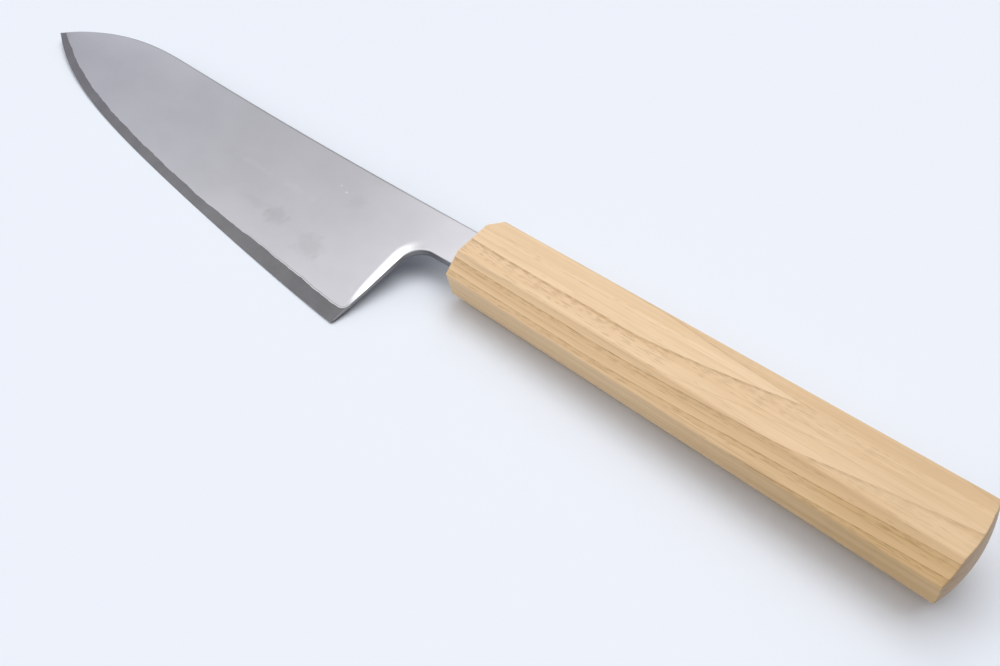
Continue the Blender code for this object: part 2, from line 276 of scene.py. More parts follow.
WOOD_DASHES = ((0.35, 1.2, 1.2), 1.0, 2.0, 0.5)
WOOD_STREAKS = ((0.012, 0.3, 0.3), 1.0, 3.0, 0.6, (3.0, 9.0, 1.0))
WOOD_THREADS = ((0.025, 1.8, 1.8), 1.0, 3.0, 0.6, (1.0, 4.0, 6.0))
GLUE_CLOUDS = ((1.0, 1.0, 1.0), 1.5, 3.0, 0.5)
GLUE_GRAIN = ((1.0, 1.0, 1.0), 4.0, 3.0, 0.5)

# How a pattern shows: the levels of its noise at which it comes in and is full, and the strengths or
# roughnesses that these two levels give
MOST_OF_NOISE = (0.3, 0.7)
HAZE_SHOWS = (0.35, 0.7, 0.0, 0.25)
STEEL_ROUGHNESS = (*MOST_OF_NOISE, 0.31, 0.37)
SCRATCHES_SHOW = (*MOST_OF_NOISE, 0.0, 0.3)
CORE_ROUGHNESS = (*MOST_OF_NOISE, 0.46, 0.54)
FIBRES_SHOW = (0.38, 0.7, 0.0, 0.5)
FINE_SHOWS = (0.42, 0.75, 0.0, 0.3)
FADING_SHOWS = (0.3, 0.6, 0.35, 1.0)
DASHES_SHOW = (0.42, 0.58, 0.4, 1.0)
STREAKS_SHOW = (0.48, 0.66, 0.0, 0.42)
THREADS_SHOW = (0.56, 0.72)
WOOD_ROUGHNESS = (0.2, 0.8, 0.46, 0.58)
GLUE_ROUGHNESS = (*MOST_OF_NOISE, 0.35, 0.5)

# Bumps: their height in metres at full strength, and the strength on the satin and on the wood
BUMP_HEIGHT = 0.0001
STEEL_BUMP = 0.03
WOOD_BUMP = 0.3
FINE_HEIGHT = 0.25
PORE_HEIGHT = -1.0

# The satin: how much smoother the polish makes it, and the ground line, which shows near the heel only
# as a thin pale line with a dark line above it, both placed in millimetres up from the line
POLISH_ROUGHNESS = -0.13
GROUND_LINE_START_X = HEEL_X - 60.0
GROUND_LINE_FULL_X = HEEL_X - 15.0
GROUND_LINE_STRENGTH = 0.65
PALE_LINE_ENDS = (0.12, 0.2)
DARK_LINE_STARTS = (0.15, 0.25)
DARK_LINE_ENDS = (0.35, 0.5)

# Where painted shade on the core starts to deepen towards the heel, and where it is deepest
CORE_SHADE_START_X = HEEL_X - 70.0
CORE_SHADE_FULL_X = HEEL_X - 10.0

# Growth rings: lean towards the spine, spacing, level of the first, where they start to dip towards
# the butt, how steeply and how softly, how far they wander, where and how much they curl on the far
# side, and how many are counted above the first, so that no count is negative
RING_LEAN = 0.24
RING_SPACING = 2.75
RING_TOP = 8.15
RING_BOW_X = 58.0
RING_BOW = 0.037
RING_BEND = 0.6
RING_WANDER = 0.35
RING_CURL_Y = 6.0
RING_CURL = 0.03
RINGS_ABOVE = 20.0

# Parts of a ring, from 0 where it opens to 1 where the next one opens: early and late wood, and the
# lines, each with its start and width, and its strength
EARLY_WOOD = (0.0, 0.5)
EARLY_STRENGTH = 0.26
EARLY_MORE_NEAR = 0.3
LATE_WOOD = (0.6, 0.98)
LATE_STRENGTH = 0.25
OPENING_LINE = (0.0, 0.09)
OPENING_STRENGTH = 0.58
FAINT_LINE = (0.55, 0.05)
FAINT_STRENGTH = 0.22
NEAR_LINE = (0.28, 0.07)
NEAR_STRENGTH = 0.4
LINE_OPENED = 0.2
LINE_FADES = 0.3
THREAD_STRENGTH = 0.18
THREAD_MORE_NEAR = 0.24

# Pores: length and width in millimetres, how crowded they are at the start of a ring, and a seed
PORES = ((5.0, 0.24, 1.0, 0.0), (2.8, 0.2, 1.2, 37.0), (9.0, 0.3, 0.4, 71.0))
PORE_SCATTER = 0.75
PORE_RIM = (0.2, 0.42)
PORE_BELT = (0.0, 0.6)
PORE_BELT_POWER = 1.8
PORE_STRAYS = 0.01
PORE_STRENGTH = 0.42

# Where the rings show less: on a facet that cuts them on edge, towards the butt and on the far side
EDGE_ON = (0.85, 0.98)
EDGE_ON_LOSS = -0.65
TO_BUTT = (20.0, 125.0)
TO_BUTT_POWER = 2.4
TO_BUTT_LOSS = -0.55
FAR_CHAMFER = (4.5, 8.0)
FAR_CHAMFER_LOSS = -0.6

# Tints of the handle's sides, near the edge and far from it, where both deepen towards the butt; on
# the near side, painted light brightens and warms it, and painted shade darkens its flat facet
NEAR_SIDE = (-8.5, -4.5)
NEAR_SIDE_PAINTED_LIGHT = (1.13, 1.105, 1.065)
NEAR_FLAT_PAINTED_SHADE = (0.905, 0.92, 0.92)
NEAR_BUTT_TINT = (0.823, 0.787, 0.687)
FAR_SIDE_TINT = (1.045, 1.05, 1.08)
FAR_BUTT_TINT = (0.865, 0.845, 0.80)
FAR_CHAMFER_TINT = (0.965, 0.955, 0.93)

# End grain: how squarely a face must cut the fibres, and how much of its colour shows
END_GRAIN = (0.5, 0.95)
END_STRENGTH = 0.65

# The wood's specular level, a little under Blender's own
WOOD_SPECULAR = 0.4

# Stains, and glints that are painted highlights, on the faces: how ragged and how soft their rims
# are, then the place, size and strength of each
SPOT_RAGGED = 2.4
SPOT_RIM = (1.5, 2.6)
LEFT_STAINS = (
    ((-65.8, -24.1), (5.0, 3.4), 0.22),
    ((-75.0, -24.2), (7.0, 1.4), 0.10),
    ((-46.2, -26.5), (5.0, 4.0), 0.20),
    ((-46.6, -6.2), (3.0, 2.4), 0.10),
)
LEFT_PAINTED_GLINTS = (
    ((-56.6, -3.8), (0.45, 0.35), 0.35),
    ((-52.8, -5.0), (0.6, 0.4), 0.4),
    ((-91.0, -13.6), (9.0, 1.0), 0.07),
    ((-68.0, -13.0), (8.0, 1.4), 0.06),
)
RIGHT_STAINS = (
    ((-98.0, -20.0), (5.0, 2.6), 0.16),
)
RIGHT_PAINTED_GLINTS = (
    ((-61.0, -9.0), (0.5, 0.35), 0.35),
    ((-120.0, -12.0), (9.0, 1.0), 0.07),
)


def share(value, start, end):
    """Where value lies between start and end, kept from 0 to 1."""
    return min(max((value - start) / (end - start), 0.0), 1.0)


def ease(value):
    """A smooth step from 0 to 1."""
    return value * value * (3 - 2 * value)


# Blade outline and section, as in the part's source


def spine_y(x):
    back = share(x, 0.0, NOSE_X)
    nose = share(x, NOSE_X, TIP_X)
    return SPINE_RISE - SPINE_HOLLOW * math.sin(math.pi * back) - NOSE_DROP * nose ** NOSE_POWER


def edge_y(x):
    along = share(x, HEEL_X, TIP_X)
    lift = EDGE_LIFT * along ** EDGE_LIFT_POWER + BELLY_LIFT * along ** BELLY_LIFT_POWER
    return min(-HEEL_DROP + lift, spine_y(x) - TIP_WIDTH)


def blade_height(x):
    return spine_y(x) - edge_y(x)


def core_line_y(x):
    turn = ease(share(x, CORE_BAND_TURN_X - CORE_BAND_TURN, CORE_BAND_TURN_X))
    band = CORE_BAND_NOSE + (CORE_BAND_HEEL - CORE_BAND_NOSE) * turn
    from_tip = ease(share(x, TIP_X, TIP_X + CORE_BAND_TIP_RUN))
    band -= (CORE_BAND_NOSE - CORE_BAND_TIP) * (1 - from_tip)
    return edge_y(x) + min(band, blade_height(x))


def spine_half(x):
    thinned = (SPINE_THICKNESS_HEEL - SPINE_THICKNESS_NOSE) * share(x, HEEL_X, TIP_X)
    taper = SPINE_THICKNESS_HEEL - thinned
    behind_point = share(blade_height(x), TIP_WIDTH, POINT_HEIGHT)
    return (POINT_THICKNESS + (taper - POINT_THICKNESS) * behind_point) / 2


def slab_half(x):
    """Half the thickness of the core under the cladding, thinner near the blade's tip."""
    return min(CORE_HALF, CORE_PART * spine_half(x))


def face_half(x, y):
    up = share(y, core_line_y(x), spine_y(x))
    slab = slab_half(x)
    bulge = FACE_CONVEXITY * 4 * up * (1 - up)
    return slab + (spine_half(x) - slab) * up + bulge * share(blade_height(x), 0.0, HEEL_DROP)


def core_half(x, y):
    """Half the thickness of the core, which is ground away towards the edge."""
    return EDGE_HALF + (slab_half(x) - EDGE_HALF) * share(y, edge_y(x), core_line_y(x))


def neck_y(x):
    return -NECK_DROP_AT_HANDLE + (NECK_DROP_AT_HANDLE - NECK_DROP_AT_CHOIL) * share(x, 0.0, HEEL_X)


# Paths along the outline


def rounded(points, radii, steps):
    """A path through points whose inner corners are rounded to the given radii."""
    path = [Vector(points[0])]
    for before, corner, after, radius in zip(points, points[1:], points[2:], radii):
        corner = Vector(corner)
        back = (Vector(before) - corner).normalized()
        ahead = (Vector(after) - corner).normalized()
        half_angle = math.acos(max(-1.0, min(1.0, back.dot(ahead)))) / 2
        reach = radius / math.tan(half_angle)
        centre = corner + (back + ahead).normalized() * radius / math.sin(half_angle)
        start = corner + back * reach - centre
        end = corner + ahead * reach - centre
        turn = start.angle_signed(end)
        for step in range(steps + 1):
            angle = -turn * step / steps
            cos, sin = math.cos(angle), math.sin(angle)
            turned = Vector((start.x * cos - start.y * sin, start.x * sin + start.y * cos))
            path.append(centre + turned)
    path.append(Vector(points[-1]))
    return path


def spread(path, count):
    """Points at even distances along a path."""
    lengths = [0.0]
    for start, end in zip(path, path[1:]):
        lengths.append(lengths[-1] + (end - start).length)
    points = []
    index = 0
    for step in range(count + 1):
        wanted = lengths[-1] * step / count
        while index < len(path) - 2 and lengths[index + 1] < wanted:
            index += 1
        stretch = max(lengths[index + 1] - lengths[index], TINY)
        points.append(path[index].lerp(path[index + 1], (wanted - lengths[index]) / stretch))
    return points


# Making meshes


def skin(columns, rings, place, marks=()):
    """A closed skin: a grid whose rows run round the piece and whose columns run along it.

    place(column, ring) gives a point in the knife's frame and a value for each of the marks, which
    the materials read as attributes. Ring 0 and the last ring meet.
    """
    bm = bmesh.new()
    bmesh.ops.create_grid(bm, x_segments=columns, y_segments=rings, size=0.5)
    layers = [bm.verts.layers.float.new(mark) for mark in marks]
    for vert in bm.verts:
        column = round((vert.co.x + 0.5) * columns)
        ring = round((vert.co.y + 0.5) * rings)
        vert.co, *values = place(column, ring)
        for layer, value in zip(layers, values):
            vert[layer] = value
    bmesh.ops.remove_doubles(bm, verts=bm.verts[:], dist=WELD)
    bmesh.ops.dissolve_degenerate(bm, edges=bm.edges[:], dist=SLIVER)
    bmesh.ops.holes_fill(bm, edges=[edge for edge in bm.edges if edge.is_boundary], sides=0)
    bmesh.ops.recalc_face_normals(bm, faces=bm.faces[:])
    return bm


def finish_mesh(name, bm, material, node, sharp_angle=SHARP_ANGLE):
    """Turns a bmesh in the knife's frame into a piece that stands for a CAD node."""
    into_place = Matrix.Translation(AXIS) @ Matrix.Scale(MM, 4)
    bmesh.ops.transform(bm, matrix=into_place, verts=bm.verts[:])
    mesh = bpy.data.meshes.new(name)
    bm.to_mesh(mesh)
    bm.free()
    mesh.shade_smooth()
    mesh.set_sharp_from_angle(angle=math.radians(sharp_angle))
    mesh.materials.append(material)
    piece = bpy.data.objects.new(name, mesh)
    bpy.context.scene.collection.objects.link(piece)
    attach(piece, "root")
    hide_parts(node)
    return piece


# Materials


def new_material(name):
    material = bpy.data.materials.new(name)
    material.use_nodes = True
    tree = material.node_tree
    surface = tree.nodes["Principled BSDF"]
    return material, tree, surface


def add(tree, kind, **settings):
    node = tree.nodes.new(kind)
    for key, value in settings.items():
        setattr(node, key, value)
    return node


def plug(tree, source, target):
    tree.links.new(source, target)


def math_node(tree, operation, first, second=None, third=None):
    """A Math node whose inputs are sockets or numbers."""
    node = add(tree, "ShaderNodeMath", operation=operation)
    for socket, value in zip(node.inputs, (first, second, third)):
        if value is None:
            continue
        if isinstance(value, (int, float)):
            socket.default_value = value
        else:
            plug(tree, value, socket)
    return node.outputs[0]


def times(tree, first, second):
    return math_node(tree, "MULTIPLY", first, second)


def knife_coordinates(tree):
    """Object coordinates turned into millimetres in the knife's own frame."""
    where = add(tree, "ShaderNodeTexCoord")
    scaled = add(tree, "ShaderNodeMapping", vector_type="POINT")
    scaled.inputs["Location"].default_value = -AXIS / MM
    scaled.inputs["Scale"].default_value = (1 / MM, 1 / MM, 1 / MM)
    plug(tree, where.outputs["Object"], scaled.inputs["Vector"])
    return scaled.outputs["Vector"]


def stretched(tree, vector, scale, location=(0.0, 0.0, 0.0)):
    node = add(tree, "ShaderNodeMapping", vector_type="POINT")
    node.inputs["Scale"].default_value = scale
    node.inputs["Location"].default_value = location
    plug(tree, vector, node.inputs["Vector"])
    return node.outputs["Vector"]


def pattern(tree, where, fineness, scale, detail, roughness, start=(0.0, 0.0, 0.0)):
    """Noise from 0 to 1, finer or longer along, across and through the knife."""
    node = add(tree, "ShaderNodeTexNoise")
    node.inputs["Scale"].default_value = scale
    node.inputs["Detail"].default_value = detail
    node.inputs["Roughness"].default_value = roughness
    plug(tree, stretched(tree, where, fineness, start), node.inputs["Vector"])
    return node.outputs["Fac"]


def between(tree, value, low, high, to_low=0.0, to_high=1.0, smooth=True):
    """Maps a value from one range to another, kept inside it."""
    node = add(tree, "ShaderNodeMapRange", interpolation_type="SMOOTHSTEP" if smooth else "LINEAR")
    limits = {"From Min": low, "From Max": high, "To Min": to_low, "To Max": to_high}
    for key, number in limits.items():
        node.inputs[key].default_value = number
    plug(tree, value, node.inputs["Value"])
    return node.outputs["Result"]


def mix_colour(tree, amount, first, second, blend="MIX"):
    """A colour mix whose inputs are sockets, numbers or colours."""
    node = add(tree, "ShaderNodeMix", data_type="RGBA", blend_type=blend)
    sockets = (node.inputs[0], node.inputs[6], node.inputs[7])
    for socket, value in zip(sockets, (amount, first, second)):
        if isinstance(value, (int, float)):
            socket.default_value = value
        elif isinstance(value, tuple):
            socket.default_value = (*value, 1.0)
        else:
            plug(tree, value, socket)
    return node.outputs[2]


def mix_shaders(tree, amount, first, second):
    node = add(tree, "ShaderNodeMixShader")
    for socket, value in zip(node.inputs, (amount, first, second)):
        plug(tree, value, socket)
    return node.outputs[0]


def bump(tree, height, strength):
    node = add(tree, "ShaderNodeBump")
    node.inputs["Strength"].default_value = strength
    node.inputs["Distance"].default_value = BUMP_HEIGHT
    plug(tree, height, node.inputs["Height"])
    return node.outputs["Normal"]


def attribute(tree, name):
    return add(tree, "ShaderNodeAttribute", attribute_name=name).outputs["Fac"]


def axes_of(tree, vector):
    parts = add(tree, "ShaderNodeSeparateXYZ")
    plug(tree, vector, parts.inputs[0])
    return parts.outputs


def reach_along(tree, vector, direction):
    """How far a vector reaches along a direction."""
    node = add(tree, "ShaderNodeVectorMath", operation="DOT_PRODUCT")
    node.inputs[1].default_value = direction
    plug(tree, vector, node.inputs[0])
    return node.outputs["Value"]


def spot_of(tree, where, place, size, ragged):
    """A soft patch, 1 in its middle and 0 outside, with a slightly ragged outline."""
    x, y = place
    length, width = size
    centred = stretched(tree, where, (1 / length, 1 / width, 0.0), (-x / length, -y / width, 0.0))
    reach = add(tree, "ShaderNodeVectorMath", operation="LENGTH")
    plug(tree, centred, reach.inputs[0])
    edge = math_node(tree, "MULTIPLY_ADD", ragged, SPOT_RAGGED, reach.outputs["Value"])
    return between(tree, edge, *SPOT_RIM, 1.0, 0.0)


def satin_steel(name, stains, glints):
    """Hazy satin cladding, polished along the choil, with painted shade on the spine and on the
    choil's wall.

    Each stain and glint has a place, a size and a strength. Stains darken the satin, and glints are
    painted highlights that lighten it. A painted reflection tints the satin bluer towards the tip.
    """
    material, tree, surface = new_material(name)
    where = knife_coordinates(tree)
    along = axes_of(tree, where)[0]
    grain = pattern(tree, where, *STEEL_GRAIN)
    outline = pattern(tree, where, *STAIN_OUTLINE)

    clouds = between(tree, pattern(tree, where, *STEEL_CLOUDS), *MOST_OF_NOISE)
    tone = mix_colour(tree, clouds, STEEL_DIM, STEEL_PALE)
    haze = between(tree, pattern(tree, where, *STEEL_HAZE), *HAZE_SHOWS)
    tone = mix_colour(tree, haze, tone, STEEL_PALE)
    # Painted reflection: bluer and a little darker towards the tip
    to_tip = between(tree, along, TIP_X, HEEL_X, 1.0, 0.0)
    tone = mix_colour(tree, to_tip, tone, STEEL_TIP_PAINTED_REFLECTION, "MULTIPLY")
    # Stains darken the satin; the glints are painted highlights that lighten it
    for spots, colour in ((stains, STEEL_STAIN), (glints, STEEL_GLINT_AND_PALE_LINE)):
        for place, size, strength in spots:
            patch = spot_of(tree, where, place, size, outline)
            tone = mix_colour(tree, times(tree, patch, strength), tone, colour)

    # The ground line: a thin pale line with a dark line above it, which show near the heel
    rim = attribute(tree, "rim")
    shown = between(
        tree, along, GROUND_LINE_START_X, GROUND_LINE_FULL_X, 0.0, GROUND_LINE_STRENGTH,
    )
    started = between(tree, rim, *DARK_LINE_STARTS)
    ended = between(tree, rim, *DARK_LINE_ENDS, 1.0, 0.0)
    line = times(tree, started, ended)
    tone = mix_colour(tree, times(tree, line, shown), tone, CORE_SCRATCH)
    pale_line = between(tree, rim, *PALE_LINE_ENDS, 1.0, 0.0)
    tone = mix_colour(tree, times(tree, pale_line, shown), tone, STEEL_GLINT_AND_PALE_LINE)

    polish = attribute(tree, "polish")
    tone = mix_colour(tree, polish, tone, STEEL_POLISHED)
    # Painted shade on the spine and on the choil's wall
    tone = mix_colour(tree, attribute(tree, "painted_shade"), tone, STEEL_PAINTED_SHADE)
    plug(tree, tone, surface.inputs["Base Color"])
    surface.inputs["Metallic"].default_value = 1.0
    rough = between(tree, grain, *STEEL_ROUGHNESS)
    rough = math_node(tree, "MULTIPLY_ADD", polish, POLISH_ROUGHNESS, rough)
    plug(tree, rough, surface.inputs["Roughness"])
    plug(tree, bump(tree, grain, STEEL_BUMP), surface.inputs["Normal"])
    return material


def dark_core():
    """Fine ground core steel, darker than the cladding and brighter in the choil's wall."""
    material, tree, surface = new_material("dark_core")
    where = knife_coordinates(tree)
    along = axes_of(tree, where)[0]
    grain = pattern(tree, where, *CORE_GRAIN)
    clouds = between(tree, pattern(tree, where, *CORE_CLOUDS), *MOST_OF_NOISE)
    tone = mix_colour(tree, clouds, CORE_DIM, CORE_PALE)
    tone = mix_colour(tree, between(tree, grain, *SCRATCHES_SHOW), tone, CORE_SCRATCH)
    # Painted reflection: a bluer, darker tint towards the tip
    to_tip = between(tree, along, TIP_X, HEEL_X, 1.0, 0.0)
    tone = mix_colour(tree, to_tip, tone, CORE_TIP_PAINTED_REFLECTION, "MULTIPLY")
    # Painted shade, darker towards the heel
    shade_to_heel = between(tree, along, CORE_SHADE_START_X, CORE_SHADE_FULL_X)
    tone = mix_colour(tree, shade_to_heel, tone, CORE_HEEL_PAINTED_SHADE, "MULTIPLY")
    tone = mix_colour(tree, attribute(tree, "polish"), tone, CORE_WALL)
    plug(tree, tone, surface.inputs["Base Color"])
    surface.inputs["Metallic"].default_value = 1.0
    plug(tree, between(tree, grain, *CORE_ROUGHNESS), surface.inputs["Roughness"])
    return material


def ring_depth(tree, where):
    """How many growth rings lie above a point: flat at the front, and dipping towards the butt."""
    along, across = axes_of(tree, where)[:2]
    depth = reach_along(tree, where, (0.0, RING_LEAN, math.sqrt(1 - RING_LEAN ** 2)))
    slope = math_node(tree, "MULTIPLY_ADD", along, RING_BOW, -RING_BOW * RING_BOW_X)
    bow = math_node(tree, "SMOOTH_MAX", slope, 0.0, RING_BEND)
    depth = math_node(tree, "SUBTRACT", depth, bow)
    wander = pattern(tree, where, *WOOD_WANDER)
    depth = math_node(tree, "MULTIPLY_ADD", wander, RING_WANDER, depth)
    past_curl = math_node(tree, "MAXIMUM", math_node(tree, "SUBTRACT", across, RING_CURL_Y), 0.0)
    curl = math_node(tree, "POWER", past_curl, 2.0)
    depth = math_node(tree, "MULTIPLY_ADD", curl, RING_CURL, depth)
    depth = math_node(tree, "SUBTRACT", RING_TOP + RING_WANDER / 2, depth)
    return math_node(tree, "DIVIDE", depth, RING_SPACING)


def thin_line(tree, phase, start, width):
    """A line that opens sharply at a phase of the growth ring and fades over its width."""
    opened = between(tree, phase, start, start + width * LINE_OPENED)
    faded = between(tree, phase, start + width * LINE_FADES, start + width, 1.0, 0.0)
    return times(tree, opened, faded)


def pore_dashes(tree, where, dense, length, width, crowd, seed):
    """One size of open pores: short dashes along the grain, more of them where they are dense."""
    cells = add(tree, "ShaderNodeTexVoronoi", feature="F1")
    cells.inputs["Scale"].default_value = 1.0
    cells.inputs["Randomness"].default_value = PORE_SCATTER
    shrunk = stretched(tree, where, (1 / length, 1 / width, 1 / width), (seed, seed, seed))
    plug(tree, shrunk, cells.inputs["Vector"])
    dash = between(tree, cells.outputs["Distance"], *PORE_RIM, 1.0, 0.0)
    draw = add(tree, "ShaderNodeSeparateColor")
    plug(tree, cells.outputs["Color"], draw.inputs[0])
    chance = math_node(tree, "MULTIPLY_ADD", dense, crowd, PORE_STRAYS)
    chosen = math_node(tree, "LESS_THAN", draw.outputs[0], chance)
    return times(tree, dash, chosen)


def handle_wood():
    """Ring-porous wood whose rings are worked out in space, so that all facets and ends agree."""
    material, tree, surface = new_material("handle_wood")
    where = knife_coordinates(tree)
    along, across = axes_of(tree, where)[:2]
    rings = ring_depth(tree, where)
    phase = math_node(tree, "FRACT", math_node(tree, "ADD", rings, RINGS_ABOVE))
    fibres = pattern(tree, where, *WOOD_FIBRES)
    fine = pattern(tree, where, *WOOD_FINE)

    # The facets that cut the rings on edge show them less than the ones that skim them
    normal = axes_of(tree, add(tree, "ShaderNodeTexCoord").outputs["Normal"])
    edge_on = between(tree, math_node(tree, "ABSOLUTE", normal[1]), *EDGE_ON)
    shown = math_node(tree, "MULTIPLY_ADD", edge_on, EDGE_ON_LOSS, 1.0)
    near = between(tree, across, *NEAR_SIDE, 1.0, 0.0)
    far = math_node(tree, "SUBTRACT", 1.0, near)
    to_butt = between(tree, along, *TO_BUTT, smooth=False)
    to_butt = math_node(tree, "POWER", to_butt, TO_BUTT_POWER)
    calm = times(tree, far, to_butt)
    calmed = math_node(tree, "MULTIPLY_ADD", calm, TO_BUTT_LOSS, 1.0)
    shown = times(tree, shown, calmed)
    far_chamfer = between(tree, across, *FAR_CHAMFER)
    shown_far = math_node(tree, "MULTIPLY_ADD", far_chamfer, FAR_CHAMFER_LOSS, 1.0)

    # Broad tones, streaks, and the early and late wood of each ring
    broad = between(tree, pattern(tree, where, *WOOD_BROAD), *MOST_OF_NOISE)
    tone = mix_colour(tree, broad, WOOD_PALE, WOOD_MIDDLE)
    tone = mix_colour(tree, between(tree, fibres, *FIBRES_SHOW), tone, WOOD_TAN)
    streaks = between(tree, pattern(tree, where, *WOOD_STREAKS), *STREAKS_SHOW)
    tone = mix_colour(tree, streaks, tone, WOOD_TAN)
    early = times(tree, between(tree, phase, *EARLY_WOOD, 1.0, 0.0), shown)
    boldness = math_node(tree, "MULTIPLY_ADD", near, EARLY_MORE_NEAR, EARLY_STRENGTH)
    tone = mix_colour(tree, times(tree, early, boldness), tone, WOOD_TAN)
    late = times(tree, between(tree, phase, *LATE_WOOD), shown)
    tone = mix_colour(tree, times(tree, late, LATE_STRENGTH), tone, WOOD_LIGHT)

    # The broken line that opens a ring, a faint one inside it, and one that shows on the near side
    dashes = between(tree, pattern(tree, where, *WOOD_DASHES), *DASHES_SHOW)
    broken = times(tree, times(tree, dashes, shown), shown_far)
    near_strength = times(tree, near, NEAR_STRENGTH)
    lines = (
        (OPENING_LINE, OPENING_STRENGTH),
        (FAINT_LINE, FAINT_STRENGTH),
        (NEAR_LINE, near_strength),
    )
    for span, strength in lines:
        line = times(tree, thin_line(tree, phase, *span), broken)
        tone = mix_colour(tree, times(tree, line, strength), tone, WOOD_DARK)
    threads = between(tree, pattern(tree, where, *WOOD_THREADS), *THREADS_SHOW)
    threads = times(tree, threads, shown)
    boldness = math_node(tree, "MULTIPLY_ADD", near, THREAD_MORE_NEAR, THREAD_STRENGTH)
    tone = mix_colour(tree, times(tree, threads, boldness), tone, WOOD_DARK)
    tone = mix_colour(tree, between(tree, fine, *FINE_SHOWS), tone, WOOD_TAN)

    # Pores, crowded where a ring opens
    belt = between(tree, phase, *PORE_BELT, 1.0, 0.0, smooth=False)
    fading = between(tree, pattern(tree, where, *WOOD_FADING), *FADING_SHOWS)
    dense = times(tree, math_node(tree, "POWER", belt, PORE_BELT_POWER), fading)
    pores = None
    for size in PORES:
        dashes = pore_dashes(tree, where, dense, *size)
        pores = dashes if pores is None else math_node(tree, "MAXIMUM", pores, dashes)
    pores = times(tree, pores, times(tree, shown, shown_far))
    tone = mix_colour(tree, times(tree, pores, PORE_STRENGTH), tone, WOOD_PORE)

    # Painted light and shade: the near side is brightened and warmed, and its flat facet darkened
    tints = (
        (near, NEAR_SIDE_PAINTED_LIGHT),
        (far, FAR_SIDE_TINT),
        (times(tree, near, edge_on), NEAR_FLAT_PAINTED_SHADE),
        (times(tree, near, to_butt), NEAR_BUTT_TINT),
        (calm, FAR_BUTT_TINT),
        (far_chamfer, FAR_CHAMFER_TINT),
    )
    for amount, tint in tints:
        tone = mix_colour(tree, amount, tone, tint, "MULTIPLY")

    # End grain is darker
    end = between(tree, math_node(tree, "ABSOLUTE", normal[0]), *END_GRAIN)
    tone = mix_colour(tree, times(tree, end, END_STRENGTH), tone, WOOD_END)
    plug(tree, tone, surface.inputs["Base Color"])
    plug(tree, between(tree, fibres, *WOOD_ROUGHNESS), surface.inputs["Roughness"])
    surface.inputs["Specular IOR Level"].default_value = WOOD_SPECULAR
    height = times(tree, fine, FINE_HEIGHT)
    height = math_node(tree, "MULTIPLY_ADD", pores, PORE_HEIGHT, height)
    plug(tree, bump(tree, height, WOOD_BUMP), surface.inputs["Normal"])
    return material


def tang_resin():
    """Dark amber glue round the neck."""
    material, tree, surface = new_material("tang_resin")
    where = knife_coordinates(tree)
    tone = mix_colour(tree, pattern(tree, where, *GLUE_CLOUDS), GLUE_DARK, GLUE_PALE)
    plug(tree, tone, surface.inputs["Base Color"])
    rough = between(tree, pattern(tree, where, *GLUE_GRAIN), *GLUE_ROUGHNESS)
    plug(tree, rough, surface.inputs["Roughness"])
    return material


# Columns of the blade: matched points below and on the spine


def columns_for(floor_y, last_x, corner_radius):
    """Matched points on the lower outline and on the spine, from the tip to the tang's end.

    Behind the heel the columns fan out, so that they never cross the choil.
    """
    pairs = []
    for step in range(BLADE_COLUMNS):
        turn = math.pi / 2 * (1 - step / BLADE_COLUMNS)
        x = FAN_X + (last_x - FAN_X) * math.sin(turn)
        pairs.append((Vector((x, floor_y(x))), Vector((x, spine_y(x)))))

    turn_x = HEEL_X - HEEL_STRETCH
    floor = []
    for step in range(FLOOR_COLUMNS + 1):
        x = FAN_X + (turn_x - FAN_X) * step / FLOOR_COLUMNS
        floor.append(Vector((x, floor_y(x))))
    corners = (
        (turn_x, floor_y(turn_x)),
        (HEEL_X, floor_y(HEEL_X)),
        (HEEL_X, neck_y(HEEL_X)),
        (0.0, neck_y(0.0)),
    )
    turned = rounded(corners, (corner_radius, CHOIL_RADIUS), ARC_STEPS)
    wall_start = ARC_STEPS + 1
    arc_start = wall_start + 1
    arc_end = arc_start + ARC_STEPS
    stretches = (
        (floor, FLOOR_COLUMNS, FAN_X, FAN_AT_TURN_X),
        (turned[:wall_start + 1], CORNER_COLUMNS, FAN_AT_TURN_X, FAN_AT_WALL_X),
        (turned[wall_start:arc_start + 1], WALL_COLUMNS, FAN_AT_WALL_X, FAN_AT_ARC_X),
        (turned[arc_start:arc_end + 1], ARC_COLUMNS, FAN_AT_ARC_X, turned[arc_end].x),
        (turned[arc_end:], NECK_COLUMNS, turned[arc_end].x, 0.0),
    )
    heel = len(pairs) + FLOOR_COLUMNS + CORNER_COLUMNS
    for path, count, from_x, to_x in stretches:
        for step, point in enumerate(spread(path, count)[:-1]):
            x = from_x + (to_x - from_x) * step / count
            pairs.append((point, Vector((x, spine_y(x)))))
    for x in (0.0, SHOULDER_DEPTH / 2, SHOULDER_DEPTH):
        pairs.append((Vector((x, neck_y(0.0))), Vector((x, SPINE_RISE))))
    for step in range(TANG_COLUMNS + 1):
        along = step / TANG_COLUMNS
        x = SHOULDER_DEPTH + TANG_STEP + (TANG_LENGTH - SHOULDER_DEPTH - TANG_STEP) * along
        half = TANG_HALF_FRONT + (TANG_HALF_END - TANG_HALF_FRONT) * along
        pairs.append((Vector((x, -half)), Vector((x, half))))
    return pairs, heel


def core_blade(material):
    """The middle layer, ground to the edge, with the tang behind it."""
    pairs, heel = columns_for(edge_y, TIP_X, CORE_HEEL_RADIUS)
    rings = 2 * len(CORE_SPOTS)

    def place(column, ring):
        lower, upper = pairs[column]
        ring = ring % rings
        side = 1 if ring < len(CORE_SPOTS) else -1
        spot = CORE_SPOTS[ring] if side > 0 else CORE_SPOTS[rings - 1 - ring]
        point = lower.lerp(upper, spot)
        polish = 1.0 if column > heel and spot == 0.0 else 0.0
        return Vector((point.x, point.y, side * core_half(point.x, point.y))), polish

    bm = skin(len(pairs) - 1, rings, place, ("polish",))
    return finish_mesh("core_blade", bm, material, "core_steel")


